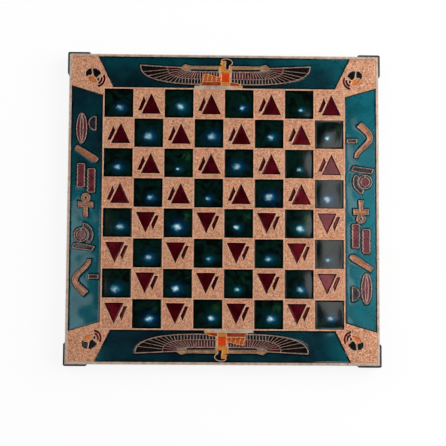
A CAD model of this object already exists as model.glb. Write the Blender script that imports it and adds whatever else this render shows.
"""Dresses the relief chess board: copper face, enamel and resin fills, feet, backing, and a plain studio."""

import logging
import math
from dataclasses import dataclass, field
from enum import Enum, IntEnum
from functools import partial
from typing import Sequence

import bpy
import numpy as np
from mathutils import Euler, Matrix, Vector
from mathutils.geometry import delaunay_2d_cdt

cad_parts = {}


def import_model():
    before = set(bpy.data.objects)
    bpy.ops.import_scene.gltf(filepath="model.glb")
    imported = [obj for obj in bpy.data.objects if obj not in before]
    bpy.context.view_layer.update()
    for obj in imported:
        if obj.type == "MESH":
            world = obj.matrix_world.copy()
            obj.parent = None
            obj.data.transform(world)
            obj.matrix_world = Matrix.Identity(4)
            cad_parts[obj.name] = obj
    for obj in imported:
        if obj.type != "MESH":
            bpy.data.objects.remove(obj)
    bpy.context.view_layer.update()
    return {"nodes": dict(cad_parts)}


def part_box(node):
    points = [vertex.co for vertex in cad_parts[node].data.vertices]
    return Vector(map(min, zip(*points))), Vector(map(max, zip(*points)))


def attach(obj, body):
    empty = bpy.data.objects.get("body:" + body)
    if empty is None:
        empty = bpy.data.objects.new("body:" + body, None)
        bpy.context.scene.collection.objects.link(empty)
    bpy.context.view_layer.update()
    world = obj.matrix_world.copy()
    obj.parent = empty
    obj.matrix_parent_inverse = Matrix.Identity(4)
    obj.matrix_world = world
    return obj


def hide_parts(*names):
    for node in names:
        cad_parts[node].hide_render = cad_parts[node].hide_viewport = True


LOG = logging.getLogger("board")
BODY = "root"
EDGE = "edge"
MM = 0.001
WELD = 1e-6
SAME_POINT = 1e-7
LEVEL_SLACK = 0.02 * MM
SHARP = math.radians(50)
JITTER = 0.36
CHUNK = 2_000_000
MIDDLE = (0.5, 0.5, 0.5)
WINGED = ("north", "south")
# The Mix node's colour sockets share their names with others, so they are taken by number.
MIX_FIRST, MIX_SECOND, MIX_RESULT = 6, 7, 2

Array = np.ndarray
Chance = np.random.Generator
Node = bpy.types.Node
Socket = bpy.types.NodeSocket
Material = bpy.types.Material
Piece = bpy.types.Object
Nodes = dict[str, Piece]
Colour = tuple[float, float, float]
Place = tuple[float, float, float]
Step = tuple[float, float]


def paint(red: float, green: float, blue: float) -> Colour:
    """Turns display steps from 0 to 255 into the linear colour that a shader takes, by the sRGB curve."""
    share = np.array([red, green, blue]) / 255
    return tuple(np.where(share <= 0.04045, share / 12.92, ((share + 0.055) / 1.055) ** 2.4).tolist())


def scaled(colour: Colour, share: float) -> Colour:
    """Gives a colour with its light multiplied."""
    return tuple(part * share for part in colour)


class Graph:
    """Node tree of one material, with short calls for the few nodes that the finishes use."""

    def __init__(self, name: str) -> None:
        """Starts an empty material with a Principled shader on its output.

        Args:
            name: the material's name.
        """
        self.material = bpy.data.materials.new(name)
        self.material.use_nodes = True
        self.tree = self.material.node_tree
        self.tree.nodes.clear()
        self.shader = self.node("ShaderNodeBsdfPrincipled")
        self.output = self.node("ShaderNodeOutputMaterial")
        self.surface(self.shader.outputs["BSDF"])
        self.place = self.node("ShaderNodeTexCoord").outputs["Object"]

    def node(self, kind: str, inputs: dict[str | int, object] | None = None, **settings: object) -> Node:
        """Adds a node.

        Args:
            kind: the node's Blender type.
            inputs: sockets or plain values, by the input's name or number.
            settings: properties, set before the inputs.

        Returns:
            The new node.
        """
        made = self.tree.nodes.new(kind)
        for key, value in settings.items():
            setattr(made, key, value)
        for key, value in (inputs or {}).items():
            self.feed(made.inputs[key], value)
        return made

    def feed(self, target: Socket, value: object) -> None:
        """Links a socket, or sets a plain value on it.

        Args:
            target: the input.
            value: a socket, a number, a colour or a vector.
        """
        if isinstance(value, Socket):
            self.tree.links.new(value, target)
        elif isinstance(value, tuple) and target.type == "RGBA":
            target.default_value = (*value, 1.0)
        else:
            target.default_value = value

    def finish(self, **inputs: object) -> Material:
        """Feeds the shader's inputs.

        Args:
            inputs: values by socket name, with _ for a blank.

        Returns:
            The material.
        """
        for key, value in inputs.items():
            self.feed(self.shader.inputs[key.replace("_", " ")], value)
        return self.material

    def math(self, operation: str, *values: object) -> Socket:
        """Adds a Math node on sockets or numbers."""
        return self.node("ShaderNodeMath", dict(enumerate(values)), operation=operation).outputs[0]

    def vector(self, operation: str, first: object, second: object = (0.0, 0.0, 0.0)) -> Socket:
        """Adds a Vector Math node on sockets or vectors, and gives its vector, or its length."""
        made = self.node("ShaderNodeVectorMath", {0: first, 1: second}, operation=operation)
        return made.outputs["Value" if operation == "LENGTH" else "Vector"]

    def noise(self, size: float, detail: float = 2.0, twist: float = 0.0, place: object = None) -> Socket:
        """Adds a noise by its features' size, in the units of place, by default the object's own."""
        inputs = {"Vector": place or self.place, "Scale": 1 / size, "Detail": detail, "Distortion": twist}
        return self.node("ShaderNodeTexNoise", inputs).outputs["Fac"]

    def span(self, value: object, low: float, high: float, start: object = 0.0, end: object = 1.0) -> Socket:
        """Maps a value smoothly from low..high to start..end, which may be sockets."""
        inputs = {"Value": value, "From Min": low, "From Max": high, "To Min": start, "To Max": end}
        return self.node("ShaderNodeMapRange", inputs, interpolation_type="SMOOTHSTEP").outputs["Result"]

    def mix(self, share: object, first: object, second: object, blend: str = "MIX") -> Socket:
        """Mixes two colours by the share of the second."""
        inputs = {"Factor": share, MIX_FIRST: first, MIX_SECOND: second}
        return self.node("ShaderNodeMix", inputs, data_type="RGBA", blend_type=blend).outputs[MIX_RESULT]

    def bump(self, height: object, depth: float, strength: float = 1.0) -> Socket:
        """Turns a height from 0 to 1 into a bump of a depth in metres, and gives its normal."""
        inputs = {"Height": height, "Distance": depth, "Strength": strength}
        return self.node("ShaderNodeBump", inputs).outputs["Normal"]

    def surface(self, source: Socket) -> None:
        """Puts a shader on the output."""
        self.feed(self.output.inputs["Surface"], source)

    def blend(self, share: object, first: Socket, second: Socket) -> Socket:
        """Mixes two shaders by the share of the second."""
        return self.node("ShaderNodeMixShader", {0: share, 1: first, 2: second}).outputs["Shader"]

    def attribute(self, name: str) -> Socket:
        """Reads a number that the mesh carries."""
        return self.node("ShaderNodeAttribute", attribute_name=name).outputs["Fac"]

    def axis(self, letter: str) -> Socket:
        """Reads one of the object's own coordinates."""
        return self.node("ShaderNodeSeparateXYZ", {0: self.place}).outputs[letter]


@dataclass(frozen=True)
class Finish:
    """A finish: its material's name and the record's slot."""

    name: str
    slot: str

    def build(self) -> Material:
        """Makes the material; each kind of finish has its own."""
        raise NotImplementedError

    def material(self) -> Material:
        """Gives the material, made once."""
        return bpy.data.materials.get(self.name) or self.build()


@dataclass(frozen=True)
class Copper(Finish):
    """Copper-toned casting: two tones in a fine grain, a few dark flecks, and broad rosy patches."""

    dull: Colour
    bright: Colour
    fleck: Colour
    flecked: float
    grain: float
    roughness: float
    metal: float = 0.4
    patch: float = 30 * MM
    rosy: Colour = (1.0, 0.88, 0.82)

    def build(self) -> Material:
        """Mixes the tones by fine, middling and broad noise.

        Returns:
            The material.
        """
        graph = Graph(self.name)
        fine = graph.noise(self.grain, 2.0)
        spots = graph.noise(1.7 * self.grain, 1.0, 0.6)
        broad = graph.noise(self.patch, 2.0, 0.4)
        tone = graph.mix(graph.span(fine, 0.36, 0.64), self.dull, self.bright)
        flecks = graph.mix(graph.span(spots, 0.58, 0.7, 0.0, self.flecked), tone, self.fleck)
        colour = graph.mix(graph.span(broad, 0.35, 0.7, 0.0, 0.6), flecks, self.rosy, "MULTIPLY")
        rough = graph.span(fine, 0.2, 0.8, self.roughness - 0.06, self.roughness + 0.08)
        return graph.finish(
            Base_Color=colour, Metallic=self.metal, Roughness=rough, Normal=graph.bump(fine, 0.1 * MM, 0.4))


@dataclass(frozen=True)
class Enamel(Finish):
    """Glossy enamel that the metal under it shines through: clouded within, dark where it meets walls."""

    deep: Colour
    bright: Colour
    cloud: float
    edge: float = 0.9
    metal: float = 0.8
    roughness: float = 0.28
    coat: float = 1.0
    ripple: float = 14 * MM
    shade: float = 0.05

    def clouds(self, graph: Graph) -> Socket:
        """Gives a cloudy noise from 0 to 1."""
        return graph.span(graph.noise(self.cloud, 2.0, 0.6), 0.32, 0.68)

    def tone(self, graph: Graph) -> Socket:
        """Mixes the two tones by the clouds."""
        return graph.mix(self.clouds(graph), self.deep, self.bright)

    def build(self) -> Material:
        """Shades the tone at the walls by the mesh's own attribute, under a clear and slightly wavy gloss.

        Returns:
            The material.
        """
        graph = Graph(self.name)
        wave = graph.noise(self.ripple, 1.0)
        rim = graph.span(graph.attribute(EDGE), 0.06, 0.6, 0.0, self.edge)
        colour = graph.mix(rim, self.tone(graph), scaled(self.deep, self.shade))
        rough = graph.span(wave, 0.3, 0.7, self.roughness - 0.04, self.roughness + 0.04)
        return graph.finish(
            Base_Color=colour, Metallic=self.metal, Roughness=rough, Coat_Weight=self.coat,
            Coat_Roughness=0.05, Normal=graph.bump(wave, 0.1 * MM, 0.3))


@dataclass(frozen=True)
class PanelEnamel(Enamel):
    """Enamel of the long panels: poured thinner, so brighter, along east, lower west and the north edge."""

    thin: float = 0.75
    west_share: float = 0.8
    north_share: float = 0.4
    east: Step = (0.105, 0.165)
    west: Step = (-0.15, -0.135)
    low: Step = (-0.01, 0.1)
    north: Step = (0.158, 0.17)

    def tone(self, graph: Graph) -> Socket:
        """Mixes the two tones by the pour's thickness, and by the clouds for the rest.

        Args:
            graph: the material's nodes.

        Returns:
            The colour's socket.
        """
        across, along = graph.axis("X"), graph.axis("Y")
        lower = graph.span(along, *self.low, self.west_share * self.thin, 0.0)
        west = graph.math("MULTIPLY", graph.span(across, *self.west, 1.0, 0.0), lower)
        north = graph.span(along, *self.north, 0.0, self.north_share * self.thin)
        east = graph.span(across, *self.east, 0.0, self.thin)
        thin = graph.math("MAXIMUM", graph.math("MAXIMUM", east, north), west)
        share = graph.math("MULTIPLY_ADD", self.clouds(graph), 1 - self.thin, thin)
        return graph.mix(share, self.deep, self.bright)


@dataclass(frozen=True)
class FigureEnamel(Enamel):
    """Enamel of the winged figures: one tone on arms and legs, and a warmer one on the body between them."""

    body: Colour = (1.0, 1.0, 1.0)
    half: Step = (6.5 * MM, 7.15 * MM)

    def tone(self, graph: Graph) -> Socket:
        """Lays the warmer tone over the middle of the board's width."""
        aside = graph.math("ABSOLUTE", graph.axis("X"))
        return graph.mix(graph.span(aside, *self.half), self.body, super().tone(graph))


@dataclass(frozen=True)
class Resin(Finish):
    """Bottle-green resin with a pearly gleam in every square, each one placed, sized and tinted by chance.

    Places and lengths other than the pitch are in squares, places from a square's middle.
    """

    pitch: float
    squares: int
    depths: tuple[Colour, Colour] = (paint(2, 7, 6), paint(4, 27, 21))
    glint: Colour = paint(24, 66, 34)
    halos: tuple[Colour, Colour] = (paint(0, 52, 112), paint(0, 92, 104))
    pearls: tuple[Colour, Colour] = (paint(226, 243, 245), paint(40, 126, 150))
    border: Colour = paint(1, 2, 2)
    heart: Place = (0.015, -0.15, 0.0)
    drift: Place = (0.2, 0.1, 0.0)
    beside: Place = (0.05, 0.0, 0.0)
    glint_at: Place = (0.27, 0.2, 0.0)
    bend: Place = (0.14, 0.14, 0.0)
    core_flat: Place = (1.0, 1.25, 0.0)
    halo_flat: Place = (1.0, 1.2, 0.0)

    def chance(self, graph: Graph, index: Socket, seed: float) -> Node:
        """Draws random numbers for each square, by its column and row and the draw's own seed."""
        place = graph.vector("ADD", index, (0.0, 0.0, seed))
        return graph.node("ShaderNodeTexWhiteNoise", {"Vector": place}, noise_dimensions="3D")

    def build(self) -> Material:
        """Works in a square's own coordinates: a pearl in a blue halo, a green glint in some upper corners.

        Returns:
            The material.
        """
        graph = Graph(self.name)
        mix, span = graph.mix, graph.span
        kinds = ("ADD", "SUBTRACT", "MULTIPLY", "LENGTH")
        add, less, times, length = (partial(graph.vector, kind) for kind in kinds)
        half = self.squares / 2
        flat = add(times(graph.place, (1 / self.pitch, 1 / self.pitch, 0.0)), (half, half, 0.0))
        index = graph.vector("FLOOR", flat)
        inside = less(less(flat, index), (0.5, 0.5, 0.0))
        place = self.chance(graph, index, 1.0).outputs["Color"]
        luck, tint, glow = (self.chance(graph, index, seed).outputs["Value"] for seed in (2.0, 3.0, 4.0))
        heart = add(times(less(place, MIDDLE), self.drift), self.heart)
        swirl = graph.noise(0.16, 2.0, 0.8, flat)
        bend = times(less(swirl.node.outputs["Color"], MIDDLE), self.bend)
        apart = add(less(inside, heart), bend)
        size = graph.math("MULTIPLY_ADD", luck, 0.75, 0.6)
        reach = graph.math("DIVIDE", length(times(apart, self.core_flat)), size)
        spread = graph.math("DIVIDE", length(times(less(apart, self.beside), self.halo_flat)), size)
        corner = length(less(add(inside, bend), self.glint_at))
        veil = graph.noise(0.45, 2.0, 1.6, flat)
        ground = mix(span(veil, 0.34, 0.62), *self.depths)
        green = graph.math("MULTIPLY", span(corner, 0.02, 0.2, 1.0, 0.0), span(glow, 0.45, 0.8, 0.0, 0.75))
        glinting = mix(graph.math("MULTIPLY", green, span(veil, 0.4, 0.6)), ground, self.glint)
        blue = mix(tint, *self.halos)
        bloom = mix(span(spread, 0.05, 0.4, 0.2, 0.0), glinting, blue)
        haloed = mix(span(spread, 0.02, 0.22, 0.6, 0.0), bloom, blue)
        mottle = graph.noise(0.09, 2.0, 0.5, flat)
        core = span(graph.math("MULTIPLY_ADD", mottle, 0.16, reach), 0.08, 0.19)
        gleaming = span(reach, 0.05, 0.16, span(glow, 0.0, 1.0, 0.45, 0.85), 0.0)
        gleam = mix(gleaming, haloed, mix(core, *self.pearls))
        colour = mix(span(graph.attribute(EDGE), 0.05, 0.4, 0.0, 0.95), gleam, self.border)
        return graph.finish(
            Base_Color=colour, Roughness=0.07, Normal=graph.bump(swirl, 0.06 * MM, 0.25))


@dataclass(frozen=True)
class Moulded(Finish):
    """Moulded black plastic with a fine spark-eroded grain."""

    colour: Colour

    def build(self) -> Material:
        """Varies tone, gloss and height by a fine grain.

        Returns:
            The material.
        """
        graph = Graph(self.name)
        grain = graph.noise(0.7 * MM, 2.0)
        dust = graph.noise(12 * MM, 3.0)
        colour = graph.mix(graph.span(dust, 0.35, 0.75), self.colour, scaled(self.colour, 1.7))
        return graph.finish(
            Base_Color=colour, Roughness=graph.span(dust, 0.3, 0.7, 0.5, 0.62), Specular_IOR_Level=0.35,
            Normal=graph.bump(grain, 0.06 * MM, 0.5))


@dataclass(frozen=True)
class Felt(Finish):
    """Pressed felt: matted fibres and a soft sheen."""

    colour: Colour

    def build(self) -> Material:
        """Mats long fibres across broad, uneven patches.

        Returns:
            The material.
        """
        graph = Graph(self.name)
        fibre = graph.noise(1.1 * MM, 4.0, 2.5)
        patch = graph.noise(18 * MM, 2.0)
        tone = graph.math("MULTIPLY", graph.span(fibre, 0.25, 0.75), graph.span(patch, 0.2, 0.8, 0.6, 1.0))
        colour = graph.mix(tone, scaled(self.colour, 0.45), self.colour)
        return graph.finish(
            Base_Color=colour, Roughness=0.95, Sheen_Weight=0.4, Sheen_Roughness=0.5,
            Normal=graph.bump(fibre, 0.3 * MM, 0.8))


@dataclass(frozen=True)
class Wood(Finish):
    """Plain board core with straight grain along X."""

    early: Colour
    late: Colour

    def build(self) -> Material:
        """Stretches noise along the grain.

        Returns:
            The material.
        """
        graph = Graph(self.name)
        along = graph.vector("MULTIPLY", graph.place, (0.05, 1.0, 1.0))
        ring = graph.noise(4 * MM, 4.0, 0.5, along)
        colour = graph.mix(graph.span(ring, 0.3, 0.7), self.early, self.late)
        return graph.finish(Base_Color=colour, Roughness=0.65, Normal=graph.bump(ring, 0.1 * MM, 0.4))


@dataclass(frozen=True)
class Steel(Finish):
    """Zinc-plated screw steel."""

    colour: Colour

    def build(self) -> Material:
        """Varies tone and gloss by a fine, cloudy plating.

        Returns:
            The material.
        """
        graph = Graph(self.name)
        plating = graph.noise(2 * MM, 3.0)
        colour = graph.mix(graph.span(plating, 0.3, 0.7), self.colour, scaled(self.colour, 0.7))
        return graph.finish(
            Base_Color=colour, Metallic=1.0, Roughness=graph.span(plating, 0.3, 0.7, 0.25, 0.42))


@dataclass
class Solid:
    """Points, triangles and quads of one closed mesh, with an edge value on each point."""

    points: Array
    faces: Array
    strips: Array = field(default_factory=lambda: np.empty((0, 4), int))
    edge: Array | None = None

    @classmethod
    def of_node(cls, node: Piece) -> "Solid":
        """Copies a CAD node's triangles and merges the points that coincide.

        Args:
            node: the CAD object.

        Returns:
            The merged copy.
        """
        mesh = node.data
        mesh.calc_loop_triangles()
        places = np.empty(len(mesh.vertices) * 3)
        mesh.vertices.foreach_get("co", places)
        corners = np.empty(len(mesh.loop_triangles) * 3, np.int32)
        mesh.loop_triangles.foreach_get("vertices", corners)
        places = places.reshape(-1, 3)
        steps = np.round(places / WELD).astype(np.int64)
        _, first, where = np.unique(steps, axis=0, return_index=True, return_inverse=True)
        faces = where.ravel()[corners].reshape(-1, 3)
        whole = (faces != np.roll(faces, 1, axis=1)).all(axis=1)
        return cls(places[first], faces[whole])

    def facing(self, level: float, way: float = 1.0) -> Array:
        """Finds the triangles that lie at a height and face up, or down.

        Args:
            level: the height.
            way: 1 for up, -1 for down.

        Returns:
            A flag for each triangle.
        """
        corner = self.points[self.faces]
        normal = np.cross(corner[:, 1] - corner[:, 0], corner[:, 2] - corner[:, 0])
        flat = np.abs(corner[:, :, 2] - level).max(axis=1) < LEVEL_SLACK
        return flat & (way * normal[:, 2] > 0)

    def retop(self, level: float, steps: Sequence[Step], way: float = 1.0) -> "Solid":
        """Carries an edge profile along every outline of a level face.

        Each outline point moves inward along the mitre of its sides by the step's inset, and up by its rise.
        The first step moves the outline itself, each later one adds a ring, and the face's own triangles
        then span the last ring.

        Args:
            level: height of the face.
            steps: inset and rise of each ring, from the outline inward.
            way: 1 for a face that looks up, -1 for one that looks down.

        Returns:
            A new solid, whose edge value falls from 1 on the outline to 0 on the last ring.
        """
        top = self.facing(level, way)
        sides = rim_of(self.faces[top], len(self.points))
        ids, spots = np.unique(sides, return_inverse=True)
        spots = spots.reshape(sides.shape)
        mitre = mitres(self.points[ids, :2], spots) * way
        count, rings = len(ids), len(steps)
        points = np.concatenate([self.points] + [self.points[ids]] * (rings - 1))
        edge = np.ones(len(points))
        slots = np.stack([ids] + [len(self.points) + k * count + np.arange(count) for k in range(rings - 1)])
        insets = np.array(steps)[:, 0, None, None]
        points[slots, :2] = self.points[ids, :2] + insets * mitre
        points[slots, 2] = level + np.array(steps)[:, 1, None] * way
        edge[slots] = 1 - np.arange(rings)[:, None] / (rings - 1)
        outer, inner = slots[:-1][:, spots], slots[1:][:, spots]
        quads = [outer[..., 0], outer[..., 1], inner[..., 1], inner[..., 0]]
        strips = np.stack(quads, axis=-1).reshape(-1, 4)
        lift = np.arange(len(points))
        lift[ids] = slots[-1]
        faces = np.concatenate([self.faces[~top], lift[self.faces[top]]])
        return Solid(points, faces, np.concatenate([self.strips, strips]), edge)

    def piece(self, name: str, node: str, finishes: Sequence[Finish], marks: Array | None = None) -> Piece:
        """Puts the solid into a Blender object that rides on the board in a CAD node's place.

        Args:
            name: the object's name.
            node: the CAD node's name.
            finishes: its finishes, the first of which gives the slot.
            marks: each face's finish by number, 0 for all by default.

        Returns:
            The object.
        """
        mesh = bpy.data.meshes.new(name)
        mesh.from_pydata(self.points.tolist(), [], self.faces.tolist() + self.strips.tolist())
        for finish in finishes:
            mesh.materials.append(finish.material())
        if marks is not None:
            mesh.polygons.foreach_set("material_index", marks)
        if self.edge is not None:
            values = mesh.attributes.new(EDGE, "FLOAT", "POINT").data
            values.foreach_set("value", self.edge.astype(np.float32))
        mesh.polygons.foreach_set("use_smooth", np.ones(len(mesh.polygons), bool))
        mesh.set_sharp_from_angle(angle=SHARP)
        mesh.update()
        made = bpy.data.objects.new(name, mesh)
        bpy.context.scene.collection.objects.link(made)
        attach(made, BODY)
        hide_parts(node)
        LOG.info("%s: %d faces", name, len(mesh.polygons))
        return made


def rim_of(faces: Array, count: int) -> Array:
    """Finds the sides of a patch of triangles that no second triangle shares.

    Args:
        faces: the triangles.
        count: number of points that they index.

    Returns:
        Directed sides, with the patch on their left seen from its front.
    """
    sides = np.concatenate([faces[:, [0, 1]], faces[:, [1, 2]], faces[:, [2, 0]]])
    there = sides[:, 0].astype(np.int64) * count + sides[:, 1]
    back = sides[:, 1].astype(np.int64) * count + sides[:, 0]
    return sides[~np.isin(there, back)]


def mitres(flat: Array, sides: Array, longest: float = 2.5) -> Array:
    """Works out the inward step at each outline point that shifts both of its sides by 1.

    The unit normals of the two sides add up to n, and the step is 2n over n squared, kept under a length.

    Args:
        flat: outline points in the plane.
        sides: directed sides between them.
        longest: the longest step.

    Returns:
        The steps.
    """
    run = flat[sides[:, 1]] - flat[sides[:, 0]]
    run /= np.linalg.norm(run, axis=1, keepdims=True)
    left = np.stack([-run[:, 1], run[:, 0]], axis=1)
    total = np.zeros_like(flat)
    np.add.at(total, sides[:, 0], left)
    np.add.at(total, sides[:, 1], left)
    size = np.linalg.norm(total, axis=1, keepdims=True)
    return total * np.minimum(2 / size**2, longest / size)


def within(spots: Array, start: Array, end: Array) -> Array:
    """Tests which points lie inside outlines, by the count of sides that a level ray crosses.

    Args:
        spots: points in the plane.
        start, end: the ends of the outlines' sides.

    Returns:
        A flag for each point.
    """
    rise = np.where(end[:, 1] == start[:, 1], 1.0, end[:, 1] - start[:, 1])
    slope = (end[:, 0] - start[:, 0]) / rise
    found = []
    for part in np.array_split(spots, 1 + len(spots) * len(start) // CHUNK):
        x, y = part[:, :1], part[:, 1:]
        spans = (start[:, 1] > y) != (end[:, 1] > y)
        found.append((spans & (x < start[:, 0] + (y - start[:, 1]) * slope)).sum(axis=1) % 2 == 1)
    return np.concatenate(found)


def clearance(spots: Array, start: Array, end: Array) -> Array:
    """Measures the distance from points to the nearest side of outlines.

    Args:
        spots: points in the plane.
        start, end: the ends of the outlines' sides.

    Returns:
        The distances.
    """
    run = end - start
    square = (run**2).sum(axis=1)
    found = []
    for part in np.array_split(spots, 1 + len(spots) * len(start) // CHUNK):
        away = part[:, None, :] - start
        share = np.clip((away * run).sum(axis=2) / square, 0, 1)
        found.append(np.linalg.norm(away - share[..., None] * run, axis=2).min(axis=1))
    return np.concatenate(found)


def islands(faces: Array, count: int) -> Array:
    """Labels triangles by the connected patch that they belong to.

    Every point takes the least label of its triangles, over and over, until no label changes.

    Args:
        faces: the triangles.
        count: number of points that they index.

    Returns:
        A label for each triangle.
    """
    labels, before = np.arange(count), None
    while before is None or (labels != before).any():
        before = labels.copy()
        np.minimum.at(labels, faces, labels[faces].min(axis=1, keepdims=True))
        labels = labels[labels]
    return labels[faces[:, 0]]


def divided(flat: Array, sides: Array, step: float) -> tuple[Array, Array]:
    """Divides the sides of outlines into equal parts no longer than a step.

    Args:
        flat: the points that the sides index.
        sides: directed sides of closed outlines.
        step: the longest part.

    Returns:
        The new outline points, and for each of them the one that follows.
    """
    start, run = flat[sides[:, 0]], flat[sides[:, 1]] - flat[sides[:, 0]]
    parts = np.ceil(np.linalg.norm(run, axis=1) / step).astype(int)
    first = np.cumsum(parts) - parts
    side = np.repeat(np.arange(len(sides)), parts)
    share = (np.arange(parts.sum()) - first[side]) / parts[side]
    opening = np.zeros(len(flat), int)
    opening[sides[:, 0]] = first
    follow = np.arange(1, parts.sum() + 1)
    follow[first + parts - 1] = opening[sides[:, 1]]
    return start[side] + share[:, None] * run[side], follow


def scattered(flat: Array, sides: Array, step: float, clear: float, chance: Chance) -> Array:
    """Scatters points inside outlines: a jittered grid, kept clear of the sides.

    Args:
        flat: outline points.
        sides: the outlines' sides.
        step: the grid's step.
        clear: the least distance from a side.
        chance: the random source.

    Returns:
        The scattered points.
    """
    start, end = flat[sides[:, 0]], flat[sides[:, 1]]
    low, high = flat.min(axis=0), flat.max(axis=0)
    grid = np.stack(np.meshgrid(np.arange(low[0], high[0], step), np.arange(low[1], high[1], step)), axis=-1)
    spots = grid.reshape(-1, 2) + chance.uniform(-JITTER, JITTER, (grid.size // 2, 2)) * step
    spots = spots[within(spots, start, end)]
    return spots[clearance(spots, start, end) > clear]


def joined(flat: Array, sides: Array, inner: Array) -> Array:
    """Joins outlines and the points inside them into triangles that look up.

    Args:
        flat: outline points.
        sides: the outlines' sides.
        inner: points inside.

    Returns:
        The triangles, which count the outline points first.
    """
    every = np.concatenate([flat, inner])
    made = delaunay_2d_cdt(every.tolist(), sides.tolist(), [], 0, SAME_POINT)
    assert len(made[0]) == len(every), "two points of an outline coincide"
    faces = np.array(made[2])
    return faces[within(every[faces].mean(axis=1), flat[sides[:, 0]], flat[sides[:, 1]])]


def quarter_round(radius: float, rings: int) -> list[Step]:
    """Gives inset and rise of a rounded edge's rings: a quarter circle from the wall to the face."""
    turn = np.linspace(0, np.pi / 2, rings)
    return [(float(radius * (1 - math.cos(t))), float(radius * (math.sin(t) - 1))) for t in turn]


class Face(IntEnum):
    """The parts of the casting that have a finish each."""

    LAND = 0
    GROUND = 1
    RIB = 2
    GILT = 3
    WALL = 4


@dataclass
class Casting:
    """The cast relief face: rounded lips on every outline, and stippled ground on squares and corners."""

    finishes: dict[Face, Copper]
    pitch: float = 34.9 * MM
    squares: int = 8
    ground_drop: float = 0.5 * MM
    lip: float = 0.18 * MM
    lip_flat: float = 0.05 * MM
    lip_rings: int = 4
    grain: float = 1.3 * MM
    margin: float = 0.45 * MM
    relief: float = 0.36 * MM
    lean: float = 1.2
    seed: int = 7
    wings: tuple[str, ...] = tuple(f"outer_feathers_{side}" for side in WINGED)
    wing_line: float = 0.9 * MM
    figure_half: float = 8 * MM
    gilded: tuple[str, ...] = ("figure_dress", "figure_skirt")
    skin: tuple[str, ...] = ("figure_skin",)
    fill_line: float = 1.3 * MM
    ornaments: tuple[str, ...] = ("side_red", "side_gold", "side_dark")
    busts: tuple[str, ...] = ("corner_hair", "corner_faces", "corner_collars")
    field_line: float = 0.5 * MM

    def lip_steps(self) -> list[Step]:
        """Gives the lip's profile: a rounded edge, and a flat one behind it."""
        return quarter_round(self.lip, self.lip_rings) + [(self.lip + self.lip_flat, 0.0)]

    def cell_of(self, spots: Array) -> Array:
        """Numbers the ground's patches: by square inside the field, and by quarter outside.

        Args:
            spots: points in the plane.

        Returns:
            A whole number for each point.
        """
        half = self.squares / 2
        step = np.floor(spots / self.pitch + half).astype(int)
        inside = (np.abs(spots) < half * self.pitch).all(axis=1)
        quarter = self.squares**2 + 2 * (spots[:, 0] > 0) + (spots[:, 1] > 0)
        return np.where(inside, step[:, 1] * self.squares + step[:, 0], quarter)

    def in_wings(self, spots: Array) -> Array:
        """Tests which points lie in the wings' boxes, to either side of the figures.

        Args:
            spots: points in the plane.

        Returns:
            A flag for each point.
        """
        found = np.zeros(len(spots), bool)
        for wing in self.wings:
            low, high = (np.array(corner)[:2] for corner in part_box(wing))
            found |= ((spots > low - self.wing_line) & (spots < high + self.wing_line)).all(axis=1)
        return found & (np.abs(spots[:, 0]) > self.figure_half)

    def by_fills(self, spots: Array, fills: Sequence[Piece]) -> Array:
        """Tests which points lie within a line's width of some fills.

        Args:
            spots: points in the plane.
            fills: the fills' CAD nodes.

        Returns:
            A flag for each point.
        """
        found = np.zeros(len(spots), bool)
        for node in fills:
            fill = Solid.of_node(node)
            top = fill.faces[fill.facing(float(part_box(node.name)[1].z))]
            ends = fill.points[rim_of(top, len(fill.points)), :2]
            found |= clearance(spots, ends[:, 0], ends[:, 1]) < self.fill_line
        return found

    def marked(self, spots: Array, nodes: Nodes) -> Array:
        """Tells which part each point of the raised outlines belongs to; the arms' outlines stay ribs.

        Args:
            spots: points in the plane.
            nodes: the CAD nodes by name.

        Returns:
            The part's number for each point.
        """
        gilt, skin, ornament, bust = (
            self.by_fills(spots, [nodes[name] for name in names])
            for names in (self.gilded, self.skin, self.ornaments, self.busts))
        gilt |= skin & (np.abs(spots[:, 0]) < self.figure_half)
        inside = (np.abs(spots) < self.squares / 2 * self.pitch + self.field_line).all(axis=1)
        found = np.where(inside | bust, Face.WALL, Face.LAND)
        return np.where(gilt, Face.GILT, np.where(self.in_wings(spots) | ornament, Face.RIB, found))

    def build(self, nodes: Nodes) -> Piece:
        """Rounds the lips, roughens the ground and dresses the casting.

        Args:
            nodes: the CAD nodes by name.

        Returns:
            The piece.
        """
        node = nodes["relief_plate"]
        top = float(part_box(node.name)[1].z)
        solid = Solid.of_node(node).retop(top, self.lip_steps())
        level = top - self.ground_drop
        floor = solid.facing(level)
        patches = self.cell_of(solid.points[solid.faces[floor]].mean(axis=1)[:, :2])
        chance = np.random.default_rng(self.seed)
        points, faces, count = [solid.points], [solid.faces[~floor]], len(solid.points)
        for patch in np.unique(patches):
            sides = rim_of(solid.faces[floor][patches == patch], len(solid.points))
            ids, spots = np.unique(sides, return_inverse=True)
            flat, loop = solid.points[ids, :2] / MM, spots.reshape(sides.shape)
            inner = scattered(flat, loop, self.grain / MM, self.margin / MM, chance)
            height = level + self.relief * chance.random(len(inner)) ** self.lean
            points.append(np.column_stack([inner * MM, height]))
            faces.append(np.concatenate([ids, count + np.arange(len(inner))])[joined(flat, loop, inner)])
            count += len(inner)
        solid.points, solid.faces, solid.edge = np.concatenate(points), np.concatenate(faces), None
        middles = np.concatenate([solid.points[part].mean(axis=1) for part in (solid.faces, solid.strips)])
        marks = np.where(middles[:, 2] > level, self.marked(middles[:, :2], nodes), Face.LAND)
        marks[len(faces[0]):len(solid.faces)] = Face.GROUND
        return solid.piece("cast_face", node.name, [self.finishes[face] for face in Face], marks)


@dataclass(frozen=True)
class Flow:
    """How an enamel lies, in millimetres: mesh step, dark lap at the walls, the climb's width, and waves."""

    step: float
    lap: float
    width: float
    wave: float


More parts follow.
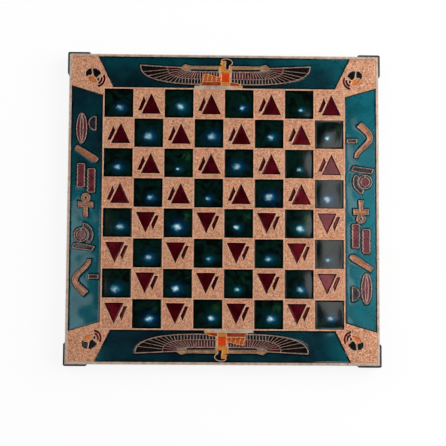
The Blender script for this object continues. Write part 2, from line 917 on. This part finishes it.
class Lay(Enum):
    """The three kinds of enamel pocket."""

    PANEL = Flow(1.2, 2.4, 0.5, 0.03)
    TRIANGLE = Flow(0.8, 1.7, 0.35, 0.012)
    CELL = Flow(0.5, 0.55, 0.2, 0.0)


@dataclass
class Enamelling:
    """Enamel fills, each poured into its pockets and drawn up a little at the walls."""

    climb: float = 0.14
    wave_lengths: Step = (31.0, 19.0)
    wave_ways: tuple[Step, Step] = ((0.8, 0.6), (0.5, -0.87))
    wave_lag: float = 1.3
    still: float = 2.0
    keep_off: float = 0.4
    seed: int = 3

    def height(self, spots: Array, wall: Array, flow: Flow) -> Array:
        """Works out the enamel's rise above its level, in millimetres.

        The rise is a climb that dies away with the distance from the wall, plus two slow waves that die out
        at it.

        Args:
            spots: points in the plane.
            wall: their distances from the wall.
            flow: how the enamel lies.

        Returns:
            The rises.
        """
        first, second = 2 * np.pi / np.array(self.wave_lengths)
        one, other = (x * spots[:, 0] + y * spots[:, 1] for x, y in self.wave_ways)
        swell = np.sin(first * one) + np.sin(second * other + self.wave_lag) / 2
        return self.climb * np.exp(-wall / flow.width) + flow.wave * swell * (1 - np.exp(-wall / self.still))

    def pour(self, node: Piece, flow: Flow) -> Solid:
        """Rebuilds a node's prisms with a poured top.

        Each pocket's outline is divided, points are scattered inside it, and both are joined into the top.
        The same outline is joined alone into the floor, and straight walls stand between the two.

        Args:
            node: the CAD node.
            flow: how the enamel lies.

        Returns:
            The closed solid, whose edge value is 1 at the walls and falls to 0 over the lap.
        """
        low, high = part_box(node.name)
        cad = Solid.of_node(node)
        top = cad.faces[cad.facing(float(high.z))]
        labels = islands(top, len(cad.points))
        chance = np.random.default_rng(self.seed)
        points, faces, strips, edge, count = [], [], [], [], 0
        for label in np.unique(labels):
            rim = rim_of(top[labels == label], len(cad.points))
            outline, follow = divided(cad.points[:, :2] / MM, rim, flow.step)
            sides = np.column_stack([np.arange(len(outline)), follow])
            inner = scattered(outline, sides, flow.step, self.keep_off * flow.step, chance)
            spots = np.concatenate([outline, inner])
            wall = np.concatenate([np.zeros(len(outline)), clearance(inner, outline, outline[follow])])
            floor = count + len(spots)
            points += [
                np.column_stack([spots, high.z / MM + self.height(spots, wall, flow)]),
                np.column_stack([outline, np.full(len(outline), low.z / MM)])]
            base = joined(outline, sides, inner[:0])[:, ::-1]
            faces += [count + joined(outline, sides, inner), floor + base]
            near = sides[:, 0]
            strips.append(np.column_stack([floor + near, floor + follow, count + follow, count + near]))
            edge += [np.clip(1 - wall / flow.lap, 0, 1), np.ones(len(outline))]
            count = floor + len(outline)
        return Solid(np.concatenate(points) * MM, *(np.concatenate(part) for part in (faces, strips, edge)))


@dataclass
class ResinSquares:
    """The dark squares: poured resin with a low crown, slow waves and a drawn-up edge."""

    finish: Resin
    steps: int = 36
    crown: float = 0.14 * MM
    climb: float = 0.16 * MM
    climb_width: float = 0.7 * MM
    edge_width: float = 1.3 * MM
    wave: float = 0.03 * MM
    wave_counts: Step = (2.6, 4.1)
    seed: int = 21

    def surface(self, low: Vector, high: Vector, chance: Chance) -> Solid:
        """Works out one square on a grid of two parameters, each from -1 to 1.

        Height is the fill's level, plus a crown of (1 - u squared)(1 - v squared), plus a rise at the walls
        that dies away with the distance from them, plus two slow waves of chance direction. The grid's outer
        ring is dropped to the pocket's floor to make the walls, and a flat face closes the bottom.

        Args:
            low, high: the node's box.
            chance: the random source.

        Returns:
            The closed solid.
        """
        line = np.sin(np.linspace(-1, 1, self.steps + 1) * np.pi / 2)
        u, v = np.meshgrid(line, line)
        middle, half = (np.array(low) + np.array(high)) / 2, (np.array(high) - np.array(low)) / 2
        wall = np.minimum(1 - np.abs(u), 1 - np.abs(v)) * half[0]
        turn = chance.uniform(0, 2 * np.pi, 4)
        slow, fast = self.wave_counts
        waves = np.sin(slow * (u * np.cos(turn[0]) + v * np.sin(turn[0])) + turn[1])
        waves = waves + np.sin(fast * (u * np.cos(turn[2]) + v * np.sin(turn[2])) + turn[3]) / 2
        rise = self.crown * (1 - u**2) * (1 - v**2) + self.climb * np.exp(-wall / self.climb_width)
        height = high.z + rise + self.wave * waves * (1 - u**4) * (1 - v**4)
        top = np.stack([middle[0] + half[0] * u, middle[1] + half[1] * v, height], axis=-1).reshape(-1, 3)
        size = self.steps + 1
        order = np.arange(size * size).reshape(size, size)
        loop = np.concatenate([order[0, :-1], order[:-1, -1], order[-1, :0:-1], order[:0:-1, 0]])
        foot = len(top) + np.arange(len(loop))
        base = top[loop].copy()
        base[:, 2] = low.z
        quads = [order[:-1, :-1], order[:-1, 1:], order[1:, 1:], order[1:, :-1]]
        cells = np.stack(quads, axis=-1).reshape(-1, 4)
        walls = np.stack([foot, np.roll(foot, -1), np.roll(loop, -1), loop], axis=-1)
        hub = len(top) + len(loop)
        floor = np.stack([np.full(len(loop), hub), np.roll(foot, -1), foot], axis=-1)
        points = np.concatenate([top, base, [[middle[0], middle[1], low.z]]])
        edge = np.concatenate([np.exp(-wall / self.edge_width).ravel(), np.ones(len(loop) + 1)])
        return Solid(points, floor, np.concatenate([cells, walls]), edge)

    def build(self, nodes: Sequence[str]) -> None:
        """Makes every dark square.

        Args:
            nodes: the CAD nodes' names.
        """
        chance = np.random.default_rng(self.seed)
        for node in nodes:
            name = node.replace("dark_square", "resin")
            self.surface(*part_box(node), chance).piece(name, node, [self.finish])


@dataclass
class Underside:
    """Feet, screws, core and felt: CAD nodes that keep their shape and get their finishes."""

    plastic: Moulded
    steel: Steel
    wood: Wood
    felt: Felt
    ease: float = 0.25 * MM
    flat_angle: float = math.radians(1)
    ease_angle: float = math.radians(40)
    felt_ease: float = 0.3 * MM
    felt_rings: int = 4

    def dress(self, node: Piece, finish: Finish) -> None:
        """Puts a finish on a CAD node that stays."""
        for slot in node.material_slots:
            slot.material = finish.material()

    def soften(self, node: Piece) -> None:
        """Eases a moulded node's edges with live modifiers, which leave its own mesh as it is.

        Args:
            node: the CAD node.
        """
        weld = node.modifiers.new("weld", "WELD")
        weld.merge_threshold = WELD
        flats = node.modifiers.new("flats", "DECIMATE")
        flats.decimate_type = "DISSOLVE"
        flats.angle_limit = self.flat_angle
        bevel = node.modifiers.new("ease", "BEVEL")
        bevel.width = self.ease
        bevel.segments = 2
        bevel.limit_method = "ANGLE"
        bevel.angle_limit = self.ease_angle

    def lay_felt(self, node: Piece) -> None:
        """Args:
            node: the CAD node of the felt.
        """
        low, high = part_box(node.name)
        steps = quarter_round(self.felt_ease, self.felt_rings)
        solid = Solid.of_node(node).retop(float(low.z), steps, -1.0)
        made = solid.piece("felt_sheet", node.name, [self.felt])
        top = solid.faces[solid.facing(float(high.z))]

    def build(self, nodes: Nodes) -> None:
        """Dresses all that lies under the casting.

        Args:
            nodes: the CAD nodes by name.
        """
        for name in sorted(nodes):
            if name.startswith("corner_foot"):
                self.dress(nodes[name], self.plastic)
                self.soften(nodes[name])
        self.dress(nodes["foot_screws"], self.steel)
        self.dress(nodes["base_panel"], self.wood)
        self.lay_felt(nodes["backing_felt"])


@dataclass(frozen=True)
class Softbox:
    """A soft area light: where it hangs, what it looks at, its sides and its power."""

    name: str
    at: Place
    towards: Place
    sides: Step
    watts: float

    def hang(self) -> None:
        """Makes the light, unseen by the camera itself."""
        lamp = bpy.data.lights.new(self.name, "AREA")
        lamp.shape = "RECTANGLE"
        lamp.size, lamp.size_y = self.sides
        lamp.energy = self.watts
        made = bpy.data.objects.new(self.name, lamp)
        made.location = self.at
        made.rotation_euler = (Vector(self.towards) - Vector(self.at)).to_track_quat("-Z", "Y").to_euler()
        made.visible_camera = False
        bpy.context.scene.collection.objects.link(made)


@dataclass
class Studio:
    """White floor, a room that is bright low down and dark overhead, soft lights and the camera."""

    floor_half: float = 6.0
    floor_white: Colour = (0.97, 0.97, 0.97)
    floor_lift: float = 0.88
    room_low: float = 1.0
    room_high: float = 0.01
    room_span: Step = (0.25, 0.7)
    lens: float = 113.0
    sensor: float = 36.0
    clip: Step = (0.05, 50.0)
    eye: Place = (-0.0435, -0.1896, 1.6288)
    tilt: Place = (6.131, -1.568, 0.321)
    lights: tuple[Softbox, ...] = (
        Softbox("key", (1.2, 0.25, 1.2), (0.0, 0.0, 0.0), (1.5, 1.5), 29.0),
        Softbox("fill", (-1.3, 0.7, 1.4), (0.0, 0.0, 0.0), (1.5, 1.5), 12.5),
        Softbox("east_strip", (0.296, 0.15, 1.6), (0.296, 0.15, 0.0), (0.08, 0.46), 0.25),
        Softbox("east_panel", (0.475, 0.11, 1.6), (0.475, 0.11, 0.0), (0.24, 0.5), 0.13),
        Softbox("west_panel", (-0.42, -0.02, 1.6), (-0.42, -0.02, 0.0), (0.3, 0.44), 0.62),
    )

    def floor(self) -> None:
        """Lays the floor: white where it is looked at, shaded by the board, and clear from below."""
        half = self.floor_half
        mesh = bpy.data.meshes.new("floor")
        corners = [(-half, -half, 0), (half, -half, 0), (half, half, 0), (-half, half, 0)]
        mesh.from_pydata(corners, [], [(0, 1, 2, 3)])
        graph = Graph("floor_white")
        graph.finish(Base_Color=self.floor_white, Roughness=0.9, Specular_IOR_Level=0.0)
        rays = graph.node("ShaderNodeLightPath").outputs
        mirrored = graph.math("MAXIMUM", rays["Is Glossy Ray"], rays["Is Transmission Ray"])
        seen = graph.math("MAXIMUM", rays["Is Camera Ray"], mirrored)
        lift = graph.math("MULTIPLY", seen, self.floor_lift)
        glow = graph.node("ShaderNodeEmission").outputs["Emission"]
        lifted = graph.blend(lift, graph.shader.outputs["BSDF"], glow)
        clear = graph.node("ShaderNodeBsdfTransparent").outputs["BSDF"]
        graph.surface(graph.blend(graph.node("ShaderNodeNewGeometry").outputs["Backfacing"], lifted, clear))
        mesh.materials.append(graph.material)
        made = bpy.data.objects.new("floor", mesh)
        bpy.context.scene.collection.objects.link(made)

    def room(self) -> None:
        """Makes the world: a plain grey that falls from the horizon to the zenith."""
        world = bpy.data.worlds.new("room")
        world.use_nodes = True
        tree = world.node_tree
        way = tree.nodes.new("ShaderNodeTexCoord")
        split = tree.nodes.new("ShaderNodeSeparateXYZ")
        fall = tree.nodes.new("ShaderNodeMapRange")
        fall.interpolation_type = "SMOOTHSTEP"
        values = (*self.room_span, self.room_low, self.room_high)
        for key, value in zip(("From Min", "From Max", "To Min", "To Max"), values):
            fall.inputs[key].default_value = value
        tree.links.new(way.outputs["Generated"], split.inputs[0])
        tree.links.new(split.outputs["Z"], fall.inputs["Value"])
        tree.links.new(fall.outputs["Result"], tree.nodes["Background"].inputs["Strength"])
        tree.nodes["Background"].inputs["Color"].default_value = (1.0, 1.0, 1.0, 1.0)
        bpy.context.scene.world = world

    def camera(self) -> None:
        """Places the camera at the photograph's angle."""
        made = bpy.data.cameras.new("camera")
        made.lens = self.lens
        made.sensor_width = self.sensor
        made.clip_start, made.clip_end = self.clip
        eye = bpy.data.objects.new("camera", made)
        eye.location = self.eye
        eye.rotation_euler = Euler([math.radians(angle) for angle in self.tilt], "XYZ")
        bpy.context.scene.collection.objects.link(eye)
        bpy.context.scene.camera = eye

    def build(self) -> None:
        """Sets up floor, room, lights, camera and the plain view transform."""
        self.floor()
        self.room()
        for light in self.lights:
            light.hang()
        self.camera()
        bpy.context.scene.view_settings.view_transform = "Standard"


LAND = Copper(
    "smooth_copper", "copper_relief", paint(184, 162, 144), paint(202, 182, 164), paint(150, 118, 96), 0.15,
    5 * MM, 0.32)
RIB = Copper(
    "rib_copper", "copper_relief", paint(132, 108, 96), paint(172, 146, 132), paint(96, 72, 60), 0.2,
    2.2 * MM, 0.34)
GILT = Copper(
    "gilt_copper", "copper_relief", paint(196, 128, 68), paint(232, 174, 100), paint(150, 88, 46), 0.2,
    2.2 * MM, 0.32)
WALL = Copper(
    "wall_copper", "copper_relief", paint(204, 150, 118), paint(228, 180, 148), paint(160, 108, 82), 0.15,
    3 * MM, 0.34)
GROUND = Copper(
    "stippled_copper", "copper_relief", paint(174, 115, 84), paint(222, 170, 136), paint(128, 78, 52), 0.55,
    1.4 * MM, 0.44)
TEAL = PanelEnamel("teal_glaze", "teal_enamel", paint(0, 32, 45), paint(0, 114, 127), 60 * MM)
RED = Enamel(
    "red_glaze", "red_enamel", paint(90, 2, 17), paint(126, 5, 29), 9 * MM, 0.8, roughness=0.16, coat=0.6)
FEATHER_RED = Enamel("red_feather_glaze", "feather_red", paint(80, 6, 24), paint(116, 14, 38), 7 * MM, 0.7)
FEATHER_BLACK = Enamel(
    "black_feather_glaze", "feather_black", paint(12, 6, 7), paint(30, 15, 16), 9 * MM, 0.7)
FIGURE_GOLD = FigureEnamel(
    "figure_gold_glaze", "gold_enamel", paint(178, 126, 76), paint(208, 160, 104), 8 * MM, 0.6, 0.5,
    body=paint(238, 146, 52))
BUST_GOLD = Enamel(
    "bust_gold_glaze", "gold_enamel", paint(206, 96, 40), paint(236, 142, 72), 5 * MM, 0.5, 0.5)
BLACK = Enamel("black_glaze", "black_enamel", paint(8, 8, 9), paint(26, 24, 24), 5 * MM, 0.6)
ORANGE = FigureEnamel(
    "orange_glaze", "orange_enamel", paint(168, 62, 20), paint(204, 92, 36), 6 * MM, 0.6, 0.4,
    body=paint(232, 70, 10))
CRIMSON = Enamel("crimson_glaze", "red_enamel", paint(150, 48, 26), paint(186, 72, 40), 6 * MM, 0.6, 0.5)
SIDE_RED = Enamel("side_red_glaze", "red_enamel", paint(88, 26, 40), paint(124, 48, 58), 6 * MM, 0.7, 0.6)
SIDE_GOLD = Enamel(
    "side_gold_glaze", "gold_enamel", paint(146, 84, 52), paint(188, 120, 78), 7 * MM, 0.7, 0.5)
SIDE_DARK = Enamel(
    "side_dark_glaze", "black_enamel", paint(26, 24, 34), paint(54, 46, 56), 6 * MM, 0.7, 0.6)

FILLS: tuple[tuple[str, str, Enamel, Lay], ...] = (
    *((f"border_enamel_{side}", f"teal_panel_{side}", TEAL, Lay.PANEL)
      for side in ("north", "west", "south", "east")),
    ("large_triangles", "red_triangles", RED, Lay.TRIANGLE),
    ("small_triangles", "red_slivers", RED, Lay.TRIANGLE),
    *((f"inner_feathers_{side}", f"red_feathers_{side}", FEATHER_RED, Lay.CELL) for side in WINGED),
    *((f"outer_feathers_{side}", f"black_feathers_{side}", FEATHER_BLACK, Lay.CELL) for side in WINGED),
    ("figure_skin", "figure_gold", FIGURE_GOLD, Lay.CELL),
    ("figure_hair", "figure_black", BLACK, Lay.CELL),
    ("figure_dress", "figure_orange", ORANGE, Lay.CELL),
    ("figure_skirt", "figure_crimson", CRIMSON, Lay.CELL),
    ("corner_hair", "bust_black", BLACK, Lay.CELL),
    ("corner_faces", "bust_gold", BUST_GOLD, Lay.CELL),
    ("corner_collars", "bust_red", RED, Lay.CELL),
    ("side_red", "ornament_red", SIDE_RED, Lay.CELL),
    ("side_gold", "ornament_gold", SIDE_GOLD, Lay.CELL),
    ("side_dark", "ornament_dark", SIDE_DARK, Lay.CELL),
)


def main() -> None:
    """Loads the frame, builds every sub-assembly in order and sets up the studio."""
    logging.basicConfig(level=logging.INFO, format="%(name)s: %(message)s")
    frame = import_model()
    nodes = frame["nodes"]
    Studio().build()
    finishes = {Face.LAND: LAND, Face.GROUND: GROUND, Face.RIB: RIB, Face.GILT: GILT, Face.WALL: WALL}
    casting = Casting(finishes)
    casting.build(nodes)
    enamelling = Enamelling()
    for node, name, finish, lay in FILLS:
        enamelling.pour(nodes[node], lay.value).piece(name, node, [finish])
    resin = Resin("bottle_green_resin", "dark_resin", casting.pitch, casting.squares)
    ResinSquares(resin).build(sorted(name for name in nodes if name.startswith("dark_square")))
    Underside(
        Moulded("grained_plastic", "black_plastic", paint(15, 15, 15)),
        Steel("plated_steel", "screw_steel", paint(190, 190, 186)),
        Wood("core_grain", "core_wood", paint(186, 150, 104), paint(146, 108, 68)),
        Felt("green_felt", "felt", paint(30, 74, 52)),
    ).build(nodes)


if __name__ == "__main__":
    main()
